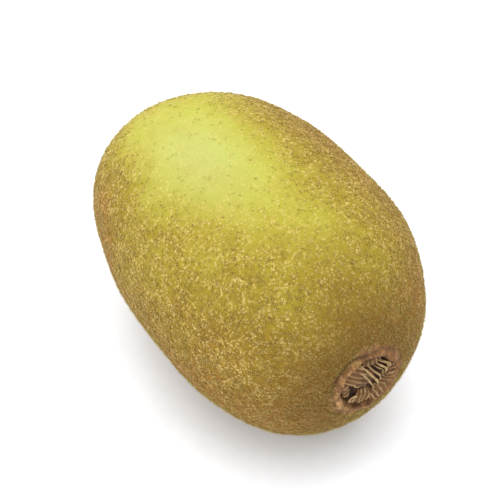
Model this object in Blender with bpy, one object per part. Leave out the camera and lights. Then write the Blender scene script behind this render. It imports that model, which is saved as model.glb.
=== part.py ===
"""A golden kiwi fruit lying on its side.

Metres, +Z up. The fruit's long axis runs along X, with the stalk end at +X and the style end, which
narrows to a short beak, at -X. The origin is on the surface that the fruit lies on, straight under the
middle of its volume.

Three pieces: the fruit itself, the dried calyx in the hollow at its stalk end, and the dried styles in
the dimple at the tip of its beak.
"""

import math

import bmesh
import bpy
import numpy as np
from mathutils import Matrix

MM = 0.001

# Driving sizes of the fruit.
RADIUS = 25.5 * MM
STALK_HALF = 32.1 * MM
STYLE_HALF = 42.0 * MM
STALK_BLUNTNESS = 2.32
STYLE_BLUNTNESS = 2.32
FLAT_SPOT_CUT = 0.4 * MM
WIDEST_X = 4.1 * MM

# How far the body is from a turned shape.
OVAL = 0.014
OVAL_TURN = 3.375
LOBES = 0.024
LOBE_TURN = -1.025
LUMP_HEIGHT = 0.18 * MM
LONG_LUMPS = 7.2
SHORT_LUMPS = 10.7
LUMP_PHASES = (1.3, 0.4, -0.6, -1.2)
BOW = -0.5 * MM
ROUND_WITHIN = 0.25 * RADIUS
GROWN_BEYOND = 0.60 * RADIUS

# Stalk end: a shallow hollow inside a low puckered rim.
HOLLOW_DEPTH = 2.3 * MM
HOLLOW_FLOOR = 4.8 * MM
HOLLOW_MOUTH = 6.2 * MM
RIM_RADIUS = 6.7 * MM
RIM_WIDTH = 1.1 * MM
RIM_HEIGHT = 0.75 * MM
RIM_PUCKERS = 9
PUCKER_DEPTH = 0.22
PUCKER_TURN = 0.7

# Style end: a bell-shaped beak that droops, with a dimple in its tip.
BEAK_LENGTH = 2.9 * MM
BEAK_RADIUS = 5.2 * MM
BEAK_SQUARENESS = 2.4
BEAK_DROOP = 2.0 * MM
DROOP_START = 0.85 * STYLE_HALF
DIMPLE_DEPTH = 0.8 * MM
DIMPLE_FLOOR = 2.1 * MM
DIMPLE_MOUTH = 2.8 * MM

# Dried calyx: a disc with the stalk's scar and the sepals on it. Air under it keeps it off the fruit.
GAP = 0.3 * MM
CALYX_RADIUS = 4.5 * MM
CALYX_THICKNESS = 0.9 * MM
SCAR_RADIUS = 1.6 * MM
SCAR_HEIGHT = 0.6 * MM
SCAR_ROOT = 0.8 * MM
SEPAL_COUNT = 6
SEPAL_WIDTH = 3.4 * MM
SEPAL_FOOT_SHARE = 0.82
SEPAL_SWELL = 0.6
SEPAL_THICKNESS = 0.6 * MM
SEPAL_FOOT = 3.7 * MM
SEPAL_LOW_BEND = 5.2 * MM
SEPAL_LOW_RISE = 0.5 * MM
SEPAL_HIGH_BEND = 4.7 * MM
SEPAL_HIGH_RISE = 2.3 * MM
SEPAL_TIP = 2.3 * MM
SEPAL_TIP_RISE = 1.6 * MM
SEPAL_ROOT = 0.35 * MM
SEPAL_LEAN = 0.3 * MM
SEPAL_CURL = 0.3 * MM
SEPAL_TURN_ERROR = 0.06

# Dried styles: stubs that spread from a small disc.
TUFT_RADIUS = 1.8 * MM
TUFT_THICKNESS = 0.7 * MM
STYLE_COUNT = 13
STYLE_LENGTH = 1.9 * MM
STYLE_RADIUS = 0.34 * MM
STYLE_TAPER = 0.45
STYLE_ROOT = 0.3 * MM
STYLE_TURN_ERROR = 0.2
LEAST_SPREAD = 0.25
MOST_SPREAD = 1.15
STYLE_SIDES = 6

# Fineness of the meshes.
SEGMENTS = 48
SIDE_RINGS = 25
END_RADIUS = 9.8 * MM
END_RINGS = 14
SEPAL_STEPS = 8
SEPAL_STRIPS = 6
DISC_SIDES = 28
SCAR_SIDES = 14
TUFT_SIDES = 16
ROUNDING = 0.3
SHARP_ANGLE = math.radians(50.0)
SEED = 7


def clear_scene():
    """Remove every object, so that only the fruit is left."""
    for obj in list(bpy.data.objects):
        bpy.data.objects.remove(obj)


def finish(name, colour, roughness):
    """A plain Principled material."""
    made = bpy.data.materials.new(name)
    made.use_nodes = True
    shader = made.node_tree.nodes["Principled BSDF"]
    shader.inputs["Base Color"].default_value = (*colour, 1.0)
    shader.inputs["Roughness"].default_value = roughness
    shader.inputs["Metallic"].default_value = 0.0
    return made


def ease(value, start, end):
    """0 before start, 1 after end, and a smooth S between them."""
    t = np.clip((value - start) / (end - start), 0.0, 1.0)
    return t * t * (3.0 - 2.0 * t)


def half_length_at(r, half, bluntness):
    """How far along its axis a superellipse half reaches at radius r."""
    return half * (1.0 - (r / RADIUS) ** bluntness) ** (1.0 / bluntness)


def turned_outline():
    """(x, r) along the fruit's side, from the middle of its stalk end to the tip of its beak.

    Both halves are superellipses. Rings are close together at the ends, which have finer forms.
    """
    end_r = np.linspace(0.0, END_RADIUS, END_RINGS)
    stalk_x = half_length_at(end_r, STALK_HALF, STALK_BLUNTNESS)
    style_x = -half_length_at(end_r, STYLE_HALF, STYLE_BLUNTNESS)
    stalk_angle = math.asin((END_RADIUS / RADIUS) ** (STALK_BLUNTNESS / 2.0))
    style_angle = math.pi - math.asin((END_RADIUS / RADIUS) ** (STYLE_BLUNTNESS / 2.0))
    angle = np.linspace(stalk_angle, style_angle, SIDE_RINGS)[1:-1]
    on_stalk_side = angle < math.pi / 2.0
    half = np.where(on_stalk_side, STALK_HALF, -STYLE_HALF)
    power = 2.0 / np.where(on_stalk_side, STALK_BLUNTNESS, STYLE_BLUNTNESS)
    side_x = half * np.abs(np.cos(angle)) ** power
    side_r = RADIUS * np.sin(angle) ** power
    x = np.concatenate([stalk_x, side_x, style_x[::-1]])
    r = np.concatenate([end_r, side_r, end_r[::-1]])
    return x, r


def stalk_relief(r, angle):
    """How far the stalk end stands out at radius r: a puckered rim, less the hollow inside it."""
    puckers = 1.0 + PUCKER_DEPTH * np.cos(RIM_PUCKERS * angle + PUCKER_TURN)
    rim = RIM_HEIGHT * puckers * np.exp(-(((r - RIM_RADIUS) / RIM_WIDTH) ** 2))
    return rim - HOLLOW_DEPTH * (1.0 - ease(r, HOLLOW_FLOOR, HOLLOW_MOUTH))


def style_relief(r):
    """How far the style end stands out at radius r: a bell-shaped beak, less the dimple in its tip."""
    beak = BEAK_LENGTH * np.exp(-((r / BEAK_RADIUS) ** BEAK_SQUARENESS))
    return beak - DIMPLE_DEPTH * (1.0 - ease(r, DIMPLE_FLOOR, DIMPLE_MOUTH))


def bow_at(x):
    """Sideways offset of the fruit's axis."""
    return BOW * (x / STYLE_HALF) ** 2


def droop_at(x):
    """How far the beak's axis has sunk at x."""
    length = STYLE_HALF + BEAK_LENGTH - DROOP_START
    return BEAK_DROOP * (np.clip(-x - DROOP_START, 0.0, None) / length) ** 2


def grown(points):
    """Moves points of the turned shape to where they are on the grown fruit.

    The body gets a slight oval, lobes and lumps, its ends their relief, and its axis a bow.
    """
    x, y, z = points.T
    r = np.hypot(y, z)
    angle = np.arctan2(z, y)
    along = x / STYLE_HALF
    out_of_round = OVAL * np.cos(2.0 * angle + OVAL_TURN) + LOBES * np.cos(3.0 * angle + LOBE_TURN)
    lumps = np.sin(LONG_LUMPS * along + LUMP_PHASES[0]) * np.cos(2.0 * angle + LUMP_PHASES[1])
    lumps += np.sin(SHORT_LUMPS * along + LUMP_PHASES[2]) * np.cos(4.0 * angle + LUMP_PHASES[3])
    body = ease(r, ROUND_WITHIN, GROWN_BEYOND)
    new_r = r * (1.0 + body * out_of_round) + body * LUMP_HEIGHT * lumps
    new_x = x + np.where(x > 0.0, stalk_relief(r, angle), -style_relief(r))
    new_y = new_r * np.cos(angle) + bow_at(new_x)
    new_z = new_r * np.sin(angle) - droop_at(new_x)
    return np.stack([new_x, new_y, new_z], axis=1)


def object_of(mesh, name, look):
    """A named object, shaded smooth, from a BMesh."""
    bmesh.ops.recalc_face_normals(mesh, faces=mesh.faces)
    data = bpy.data.meshes.new(name)
    mesh.to_mesh(data)
    mesh.free()
    data.materials.append(look)
    data.shade_smooth()
    data.set_sharp_from_angle(angle=SHARP_ANGLE)
    obj = bpy.data.objects.new(name, data)
    bpy.context.collection.objects.link(obj)
    return obj


def build_fruit(look):
    """The fruit: its outline spun about X, grown out of round, and cut flat where it rests."""
    mesh = bmesh.new()
    outline = [mesh.verts.new((x, r, 0.0)) for x, r in zip(*turned_outline())]
    edges = [mesh.edges.new(pair) for pair in zip(outline, outline[1:])]
    bmesh.ops.spin(
        mesh, geom=outline + edges, axis=(1, 0, 0), cent=(0, 0, 0), angle=math.tau, steps=SEGMENTS
    )
    bmesh.ops.remove_doubles(mesh, verts=mesh.verts, dist=0.01 * MM)
    points = grown(np.array([vert.co for vert in mesh.verts]))
    for vert, point in zip(mesh.verts, points):
        vert.co = point
    floor = points[:, 2].min() + FLAT_SPOT_CUT
    everything = list(mesh.verts) + list(mesh.edges) + list(mesh.faces)
    cut = bmesh.ops.bisect_plane(
        mesh, geom=everything, plane_co=(0, 0, floor), plane_no=(0, 0, -1), clear_outer=True
    )
    rim = [part for part in cut["geom_cut"] if isinstance(part, bmesh.types.BMEdge)]
    bmesh.ops.contextual_create(mesh, geom=rim)
    fruit = object_of(mesh, "fruit", look)
    fruit.location = (WIDEST_X, 0.0, -floor)
    return fruit


def disc(radius, thickness, base, segments):
    """A BMesh disc about X, from x = base to base + thickness, with its outer edge rounded."""
    mesh = bmesh.new()
    bmesh.ops.create_cone(
        mesh, cap_ends=True, segments=segments, radius1=radius, radius2=radius, depth=thickness
    )
    edges = [edge for edge in mesh.edges if abs(edge.calc_length() - thickness) > 0.01 * MM]
    bmesh.ops.bevel(mesh, geom=edges, offset=ROUNDING * thickness, segments=2, affect="EDGES", profile=0.5)
    turn = Matrix.Rotation(math.pi / 2.0, 4, "Y")
    shift = Matrix.Translation((base + 0.5 * thickness, 0.0, 0.0))
    bmesh.ops.transform(mesh, matrix=shift @ turn, verts=mesh.verts)
    return mesh


def sepal_sheet(random, base):
    """One dried sepal as a sheet of triangles, pointing along +Y before it is turned to its place.

    It leaves the disc near its edge, stands up inside the rim and folds in over the hollow, along a cubic
    curve. It is widest at its bend, narrows to a rounded tip, and its edges curl down.
    """
    v, u = np.meshgrid(
        np.linspace(0.0, 1.0, SEPAL_STEPS + 1), np.linspace(-1.0, 1.0, SEPAL_STRIPS + 1), indexing="ij"
    )
    tip = SEPAL_TIP * random.uniform(0.85, 1.35)
    tip_rise = SEPAL_TIP_RISE * random.uniform(0.9, 1.1)
    foot_part = (1 - v) ** 3
    low_part = 3 * v * (1 - v) ** 2
    high_part = 3 * v**2 * (1 - v)
    tip_part = v**3
    out = foot_part * SEPAL_FOOT + low_part * SEPAL_LOW_BEND + high_part * SEPAL_HIGH_BEND + tip_part * tip
    up = low_part * SEPAL_LOW_RISE + high_part * SEPAL_HIGH_RISE + tip_part * tip_rise
    side = (SEPAL_FOOT_SHARE + SEPAL_SWELL * v * (1 - v)) * np.sqrt(1.05 - v**4)
    half_width = 0.5 * SEPAL_WIDTH * side
    across = u * half_width + SEPAL_LEAN * random.uniform(-1.0, 1.0) * v
    curl = SEPAL_CURL * u * u * np.sin(math.pi * v)
    points = np.stack([base + up - curl, out, across], axis=-1)
    mesh = bmesh.new()
    grid = [[mesh.verts.new(point) for point in row] for row in points]
    for low, high in zip(grid, grid[1:]):
        for a, b, c, d in zip(low, low[1:], high[1:], high):
            mesh.faces.new((a, b, c))
            mesh.faces.new((a, c, d))
    return mesh


def fused(core, pieces, name, look):
    """Joins loose pieces to a core by one Boolean union."""
    base = object_of(core, name, look)
    helpers = bpy.data.collections.new(name + "_pieces")
    bpy.context.scene.collection.children.link(helpers)
    for piece in pieces:
        bpy.context.collection.objects.unlink(piece)
        helpers.objects.link(piece)
    join = base.modifiers.new("join", "BOOLEAN")
    join.operation = "UNION"
    join.operand_type = "COLLECTION"
    join.collection = helpers
    join.solver = "EXACT"
    join.use_self = True
    bpy.context.view_layer.update()
    evaluated = base.evaluated_get(bpy.context.evaluated_depsgraph_get())
    data = bpy.data.meshes.new_from_object(evaluated)
    base.modifiers.clear()
    base.data = data
    for piece in list(helpers.objects):
        bpy.data.objects.remove(piece)
    bpy.data.collections.remove(helpers)
    data.shade_smooth()
    data.set_sharp_from_angle(angle=SHARP_ANGLE)
    return base


def build_calyx(look, fruit):
    """The dried calyx: a disc with the stalk's scar in its middle and sepals folded in round it."""
    random = np.random.default_rng(SEED)
    base = STALK_HALF - HOLLOW_DEPTH + GAP
    top = base + CALYX_THICKNESS
    scar_mesh = disc(SCAR_RADIUS, SCAR_ROOT + SCAR_HEIGHT, top - SCAR_ROOT, SCAR_SIDES)
    scar = object_of(scar_mesh, "scar", look)
    pieces = [scar]
    for k in range(SEPAL_COUNT):
        mesh = sepal_sheet(random, top - SEPAL_ROOT)
        turn = math.tau * k / SEPAL_COUNT + SEPAL_TURN_ERROR * random.uniform(-1.0, 1.0)
        bmesh.ops.transform(mesh, matrix=Matrix.Rotation(turn, 4, "X"), verts=mesh.verts)
        piece = object_of(mesh, f"sepal_{k}", look)
        skin = piece.modifiers.new("thickness", "SOLIDIFY")
        skin.thickness = SEPAL_THICKNESS
        skin.offset = 0.0
        pieces.append(piece)
    core = disc(CALYX_RADIUS, CALYX_THICKNESS, base, DISC_SIDES)
    calyx = fused(core, pieces, "calyx", look)
    calyx.parent = fruit
    calyx.location.y = bow_at(STALK_HALF)


def build_style_tuft(look, fruit):
    """The dried styles: short stubs that spread from a small disc in the beak's dimple."""
    random = np.random.default_rng(SEED + 1)
    tip = STYLE_HALF + BEAK_LENGTH - DIMPLE_DEPTH
    pieces = []
    for k in range(STYLE_COUNT):
        spread = random.uniform(LEAST_SPREAD, MOST_SPREAD)
        turn = math.tau * k / STYLE_COUNT + STYLE_TURN_ERROR * random.uniform(-1.0, 1.0)
        mesh = bmesh.new()
        bmesh.ops.create_cone(
            mesh,
            cap_ends=True,
            segments=STYLE_SIDES,
            radius1=STYLE_RADIUS,
            radius2=STYLE_TAPER * STYLE_RADIUS,
            depth=STYLE_LENGTH,
        )
        lift = Matrix.Translation((0.0, 0.0, 0.5 * STYLE_LENGTH))
        lean = Matrix.Rotation(spread, 4, "X")
        foot = Matrix.Translation((0.0, -0.5 * TUFT_RADIUS * random.uniform(0.2, 0.9), 0.0))
        upright = Matrix.Translation((-tip - GAP - STYLE_ROOT, 0.0, 0.0))
        along = Matrix.Rotation(-math.pi / 2.0, 4, "Y")
        matrix = upright @ along @ Matrix.Rotation(turn, 4, "Z") @ foot @ lean @ lift
        bmesh.ops.transform(mesh, matrix=matrix, verts=mesh.verts)
        pieces.append(object_of(mesh, f"style_{k}", look))
    core = disc(TUFT_RADIUS, TUFT_THICKNESS, -tip - GAP - TUFT_THICKNESS, TUFT_SIDES)
    tuft = fused(core, pieces, "style_tuft", look)
    tuft.parent = fruit
    tuft.location.y = bow_at(STYLE_HALF)
    tuft.location.z = -droop_at(np.array(-tip))


def main():
    """Builds the three pieces."""
    clear_scene()
    skin = finish("kiwi_skin", (0.42, 0.33, 0.08), 0.62)
    dry = finish("dried_calyx", (0.30, 0.17, 0.09), 0.85)
    dark = finish("dried_styles", (0.10, 0.05, 0.03), 0.88)
    fruit = build_fruit(skin)
    build_calyx(dry, fruit)
    build_style_tuft(dark, fruit)


main()
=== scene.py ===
"""The looks of a golden kiwi fruit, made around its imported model.

The body's skin, its fuzz, the dried calyx in the hollow at the stalk end and the dried styles at the tip
of the beak are surfaces worked out with numpy, in metres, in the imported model's own frame: +X to the
stalk end, +Z up, and the origin on the surface that the fruit lies on.
"""

import logging
import math
from collections.abc import Callable, Sequence
from dataclasses import dataclass, field
from enum import Enum
from functools import cached_property
from itertools import product

import bmesh
import bpy
import numpy as np
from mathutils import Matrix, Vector


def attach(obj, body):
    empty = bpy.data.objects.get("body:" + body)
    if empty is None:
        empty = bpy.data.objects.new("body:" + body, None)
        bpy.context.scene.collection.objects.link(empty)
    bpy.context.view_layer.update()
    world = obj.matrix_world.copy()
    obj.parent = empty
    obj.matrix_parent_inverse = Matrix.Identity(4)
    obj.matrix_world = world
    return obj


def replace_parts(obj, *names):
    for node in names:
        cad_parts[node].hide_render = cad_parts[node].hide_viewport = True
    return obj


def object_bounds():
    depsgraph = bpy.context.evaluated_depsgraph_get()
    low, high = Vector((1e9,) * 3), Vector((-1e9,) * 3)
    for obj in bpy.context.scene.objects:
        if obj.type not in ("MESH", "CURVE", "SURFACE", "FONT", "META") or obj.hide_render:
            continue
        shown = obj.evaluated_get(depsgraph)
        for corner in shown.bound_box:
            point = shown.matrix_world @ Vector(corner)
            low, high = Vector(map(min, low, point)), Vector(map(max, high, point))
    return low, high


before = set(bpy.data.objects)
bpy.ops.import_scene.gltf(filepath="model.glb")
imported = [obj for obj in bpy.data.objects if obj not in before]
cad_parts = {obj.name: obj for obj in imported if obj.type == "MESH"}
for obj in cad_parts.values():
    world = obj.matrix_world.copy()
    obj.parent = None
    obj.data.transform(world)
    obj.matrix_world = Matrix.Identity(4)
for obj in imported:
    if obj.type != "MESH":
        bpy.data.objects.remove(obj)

CAD_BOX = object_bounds()
LOG = logging.getLogger("kiwi")
MM = 0.001
LATTICE_PRIMES = (73856093, 19349663, 83492791)
SEED_PRIME = 40503
MIX_PRIME = 1274126177
NUMBER, VECTOR, COLOUR = "NodeSocketFloat", "NodeSocketVector", "NodeSocketColor"
Array = np.ndarray
Colour = tuple[float, float, float]
Material = bpy.types.Material
Socket = bpy.types.NodeSocket


class Slot(Enum):
    """The material slots."""

    SKIN = "kiwi_skin"
    CALYX = "dried_calyx"
    STYLES = "dried_styles"


class End(Enum):
    """The two ends of the fruit, by the way that each faces along X."""

    STALK = 1.0
    STYLE = -1.0


def ease(value: Array, start: float, end: float) -> Array:
    """A smooth S from 0 at start to 1 at end: t squared times (3 - 2t).

    Args:
        value: Numbers to grade.
        start: Where the S leaves 0.
        end: Where the S reaches 1.

    Returns:
        An array like value, from 0 to 1.
    """
    t = np.clip((value - start) / (end - start), 0.0, 1.0)
    return t * t * (3.0 - 2.0 * t)


def fade(value: Array, start: float, end: float) -> Array:
    """The smooth S the other way: 1 up to start, and 0 from end on."""
    return 1.0 - ease(value, start, end)


def bell(value: Array, middle: float, width: float, power: int = 2) -> Array:
    """A bell curve, 1 at its middle: e to minus (the distance over the width) raised to the power."""
    return np.exp(-(((value - middle) / width) ** power))


def bell_round(angle: Array, middle: float, sharpness: float) -> Array:
    """A bell curve round a circle: e to the sharpness times (the cosine of the turn from its middle - 1)."""
    return np.exp(sharpness * (np.cos(angle - middle) - 1.0))


def lattice_noise(points: Array, cell: float, seed: int) -> Array:
    """Smooth noise: each corner of a cubic lattice has a fixed random value, blended in between.

    Args:
        points: Places, with x, y and z last.
        cell: The lattice's spacing, in the unit of the places.
        seed: Picks another set of random values.

    Returns:
        A number from -1 to 1 for each place.
    """
    scaled = points / cell
    base = np.floor(scaled).astype(np.int64)
    share = scaled - base
    share = share * share * (3.0 - 2.0 * share)
    total = np.zeros(points.shape[:-1])
    for corner in product((0, 1), repeat=3):
        spot = base + np.array(corner)
        x, y, z = (spot[..., k] * prime for k, prime in enumerate(LATTICE_PRIMES))
        key = x ^ y ^ z ^ seed * SEED_PRIME
        key = ((key ^ (key >> 13)) * MIX_PRIME) & 0x7FFFFFFF
        value = ((key ^ (key >> 15)) & 0xFFFF) / 32767.5 - 1.0
        total += value * np.prod(np.where(np.array(corner) == 1, share, 1.0 - share), axis=-1)
    return total


def noise_sum(points: Array, *layers: tuple[float, float, int]) -> Array:
    """Layers of lattice noise, each given by its strength, its spacing and its seed, added up."""
    return sum(strength * lattice_noise(points, cell, seed) for strength, cell, seed in layers)


def unit(vectors: Array) -> Array:
    """The vectors, each divided by its own length."""
    return vectors / np.maximum(np.linalg.norm(vectors, axis=-1, keepdims=True), 1e-12)


def grid_faces(rows: int, columns: int, closed: bool, start: int = 0) -> Array:
    """Quads of a grid of points that is stored row by row.

    Args:
        rows: Number of rows of points.
        columns: Number of points in a row.
        closed: Whether each row's last point joins its first.
        start: Index of the grid's first point.

    Returns:
        An array of four indices for each quad.
    """
    i, j = np.meshgrid(np.arange(rows - 1), np.arange(columns if closed else columns - 1), indexing="ij")
    after = (j + 1) % columns
    corners = [i * columns + j, i * columns + after, (i + 1) * columns + after, (i + 1) * columns + j]
    return start + np.stack(corners, axis=-1).reshape(-1, 4)


def cap_faces(centre: int, ring_start: int, columns: int) -> Array:
    """Triangles that join one point to a closed ring of points."""
    j = np.arange(columns)
    return np.stack([np.full(columns, centre), ring_start + j, ring_start + (j + 1) % columns], axis=-1)


def closed_faces(rows: int, columns: int) -> list[Array]:
    """Faces of a first point, closed rows of points and a last point, stored in that order."""
    last = rows * columns + 1
    ends = [cap_faces(0, 1, columns), cap_faces(last, last - columns, columns)[:, ::-1]]
    return [grid_faces(rows, columns, True, 1), *ends]


@dataclass
class Piece:
    """A mesh under construction: points, faces, and numbers or UVs that go with each point."""

    name: str
    slot: Slot
    points: list[Array] = field(default_factory=list)
    faces: list[Array] = field(default_factory=list)
    marks: dict[str, list[Array]] = field(default_factory=dict)
    uvs: list[Array] = field(default_factory=list)

    def add(
        self,
        points: Array,
        faces: Sequence[Array],
        uv: Array | None = None,
        **marks: Array,
    ) -> None:
        """Adds one connected surface.

        Args:
            points: Its points, one row each.
            faces: Blocks of faces, whose indices count from this surface's first point.
            uv: Where each point lies on the pattern, if the finish follows one.
            marks: Named numbers, one for each point, that the finish reads.
        """
        start = sum(len(block) for block in self.points)
        self.points.append(points)
        self.faces.extend(block + start for block in faces)
        self.uvs.append(np.zeros((len(points), 2)) if uv is None else uv)
        for name, values in marks.items():
            self.marks.setdefault(name, []).append(values)

    def finish(self, material: Material, turn_outwards: bool = True) -> bpy.types.Object:
        """Makes the object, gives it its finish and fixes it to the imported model.

        Args:
            material: The piece's material.
            turn_outwards: Whether closed shells need their faces turned outwards.

        Returns:
            The finished object, at the origin.
        """
        mesh = bpy.data.meshes.new(self.name)
        points = np.concatenate(self.points)
        sizes = np.concatenate([np.full(len(block), block.shape[1]) for block in self.faces])
        corners = np.concatenate([block.ravel() for block in self.faces])
        mesh.vertices.add(len(points))
        mesh.vertices.foreach_set("co", points.astype(np.float32).ravel())
        mesh.loops.add(len(corners))
        mesh.loops.foreach_set("vertex_index", corners.astype(np.int32))
        mesh.polygons.add(len(sizes))
        mesh.polygons.foreach_set("loop_start", (np.cumsum(sizes) - sizes).astype(np.int32))
        mesh.update(calc_edges=True)
        mesh.validate()
        layer = mesh.uv_layers.new(name="pattern")
        layer.data.foreach_set("uv", np.concatenate(self.uvs)[corners].astype(np.float32).ravel())
        for name, blocks in self.marks.items():
            mark = mesh.attributes.new(name, "FLOAT", "POINT")
            mark.data.foreach_set("value", np.concatenate(blocks).astype(np.float32))
        if turn_outwards:
            editable = bmesh.new()
            editable.from_mesh(mesh)
            bmesh.ops.recalc_face_normals(editable, faces=editable.faces)
            editable.to_mesh(mesh)
            editable.free()
        mesh.shade_smooth()
        mesh.materials.append(material)
        obj = bpy.data.objects.new(self.name, mesh)
        bpy.context.scene.collection.objects.link(obj)
        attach(obj, "root")
        LOG.info("%s: %d points, %d faces", self.name, len(points), len(sizes))
        return obj


def shell(top: Array, thickness: float) -> tuple[Array, list[Array]]:
    """Closes an open grid into a thin solid.

    The underside is the same grid moved back along its normals by the thickness, and a strip of quads
    joins the two all the way round their edge.

    Args:
        top: A grid of points, rows by columns by 3.
        thickness: The wall's thickness.

    Returns:
        The solid's points and its faces.
    """
    rows, columns = top.shape[:2]
    along = np.gradient(top, axis=0)
    across = np.gradient(top, axis=1)
    normal = unit(np.cross(across, along))
    under = top - normal * thickness
    points = np.concatenate([top.reshape(-1, 3), under.reshape(-1, 3)])
    size = rows * columns
    index = np.arange(size).reshape(rows, columns)
    edge = np.concatenate([index[0, :-1], index[:-1, -1], index[-1, :0:-1], index[:0:-1, 0]])
    after = np.roll(edge, -1)
    side = np.stack([edge, edge + size, after + size, after], axis=-1)
    return points, [grid_faces(rows, columns, False), grid_faces(rows, columns, False, size)[:, ::-1], side]


def tube(path: Array, radius: Array, sides: int) -> tuple[Array, list[Array], Array]:
    """A round rod carried along a path, closed at both ends.

    Each ring lies in the plane across the path, turned from a fixed direction that the path never meets.

    Args:
        path: Points along the middle, one row each.
        radius: The rod's radius at each of them.
        sides: Number of points in a ring.

    Returns:
        Points, faces, and the pattern's UVs: round the rod, then along it.
    """
    forward = unit(np.gradient(path, axis=0))
    helper = np.array([0.35, 0.91, -0.22]) * np.ones_like(forward)
    first = unit(np.cross(forward, helper))
    second = np.cross(forward, first)
    turn = np.linspace(0.0, math.tau, sides, endpoint=False)
    ring = np.cos(turn)[None, :, None] * first[:, None] + np.sin(turn)[None, :, None] * second[:, None]
    body = path[:, None] + radius[:, None, None] * ring
    steps = len(path)
    points = np.concatenate([body.reshape(-1, 3), path[:1], path[-1:]])
    last = (steps - 1) * sides
    faces = [
        grid_faces(steps, sides, True),
        cap_faces(steps * sides, 0, sides),
        cap_faces(steps * sides + 1, last, sides)[:, ::-1],
    ]
    along = np.repeat(np.linspace(0.0, 1.0, steps), sides)
    round_it = np.tile(np.linspace(0.0, 1.0, sides, endpoint=False), steps)
    uv = np.concatenate([np.stack([round_it, along], axis=-1), [[0.5, 0.0], [0.5, 1.0]]])
    return points, faces, uv


@dataclass(frozen=True)
class Ring:
    """A ridge or a groove that runs round the stalk end."""

    radius: float
    width: float
    height: float

    def at(self, r: Array) -> Array:
        """Its height or depth at radius r, which is a bell curve."""
        return self.height * bell(r, self.radius, self.width)


@dataclass(frozen=True)
class Patch:
    """A soft oval patch, seen from above: its middle and its reach in millimetres, and its strength."""

    x: float
    y: float
    reach_x: float
    reach_y: float
    strength: float = 1.0

    def at(self, x: Array, y: Array) -> Array:
        """Its strength at places in metres, which is a bell curve both ways."""
        across_x = bell(x, self.x * MM, self.reach_x * MM)
        return self.strength * across_x * bell(y, self.y * MM, self.reach_y * MM)


@dataclass(frozen=True)
class ToneAndShade:
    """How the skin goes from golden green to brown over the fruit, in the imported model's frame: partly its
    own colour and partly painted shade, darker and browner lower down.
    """

    base: float = 0.43
    along: float = -1.9
    # Green grows with height: lighter on top, browner and darker lower down, partly the skin's own colour and
    # partly painted shade.
    upward: float = 7.9
    sideways: float = -2.6
    side_start: float = 2.0 * MM
    brown_below: float = 1.02
    span: float = 0.5
    upper: tuple[float, float] = (28.0 * MM, 46.0 * MM)
    patch: Patch = Patch(-13.0, -4.0, 19.0, 14.0, 0.14)
    arm: Patch = Patch(8.0, -5.0, 20.0, 9.0, 0.065)
    arm_slant: float = 0.45
    # Two patches of painted shade on the shoulders beside the top patch: they take green away, so the skin is
    # darker and browner there.
    far_painted_shade: Patch = Patch(-10.0, 17.0, 17.0, 11.0, -0.144)
    near_painted_shade: Patch = Patch(-26.0, -23.0, 10.0, 6.0, -0.24)
    # A soft patch of painted sheen, the bluish haze of a highlight, on the top of the style half.
    painted_sheen_patch: Patch = Patch(-9.0, -7.0, 16.0, 9.0)

    def brownness_and_shade(self, points: Array) -> Array:
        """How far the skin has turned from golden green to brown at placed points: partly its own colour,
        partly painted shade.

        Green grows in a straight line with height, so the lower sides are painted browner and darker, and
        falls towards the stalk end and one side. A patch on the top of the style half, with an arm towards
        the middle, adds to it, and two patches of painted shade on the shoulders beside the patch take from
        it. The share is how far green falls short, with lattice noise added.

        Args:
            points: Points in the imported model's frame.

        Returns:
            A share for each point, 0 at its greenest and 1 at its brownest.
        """
        x, y, z = points[..., 0], points[..., 1], points[..., 2]
        # Greener with height, browner and darker lower down: partly its own colour, partly painted shade.
        green = self.base + self.along * x + self.upward * z
        green += self.sideways * np.clip(y - self.side_start, 0.0, None)
        green += (self.patch.at(x, y) + self.arm.at(x, y - self.arm_slant * x)) * ease(z, *self.upper)
        # Painted shade on the two shoulders.
        green += self.far_painted_shade.at(x, y) + self.near_painted_shade.at(x, y)
        uneven = noise_sum(points, (0.09, 9.0 * MM, 31), (0.06, 2.6 * MM, 32))
        return np.clip((self.brown_below - green) / self.span + uneven, 0.0, 1.3)

    def painted_sheen(self, points: Array) -> Array:
        """How much painted sheen the skin has at placed points: a soft patch of painted highlight on the top
        of the style half.
        """
        return self.painted_sheen_patch.at(points[..., 0], points[..., 1]) * ease(points[..., 2], *self.upper)


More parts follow.
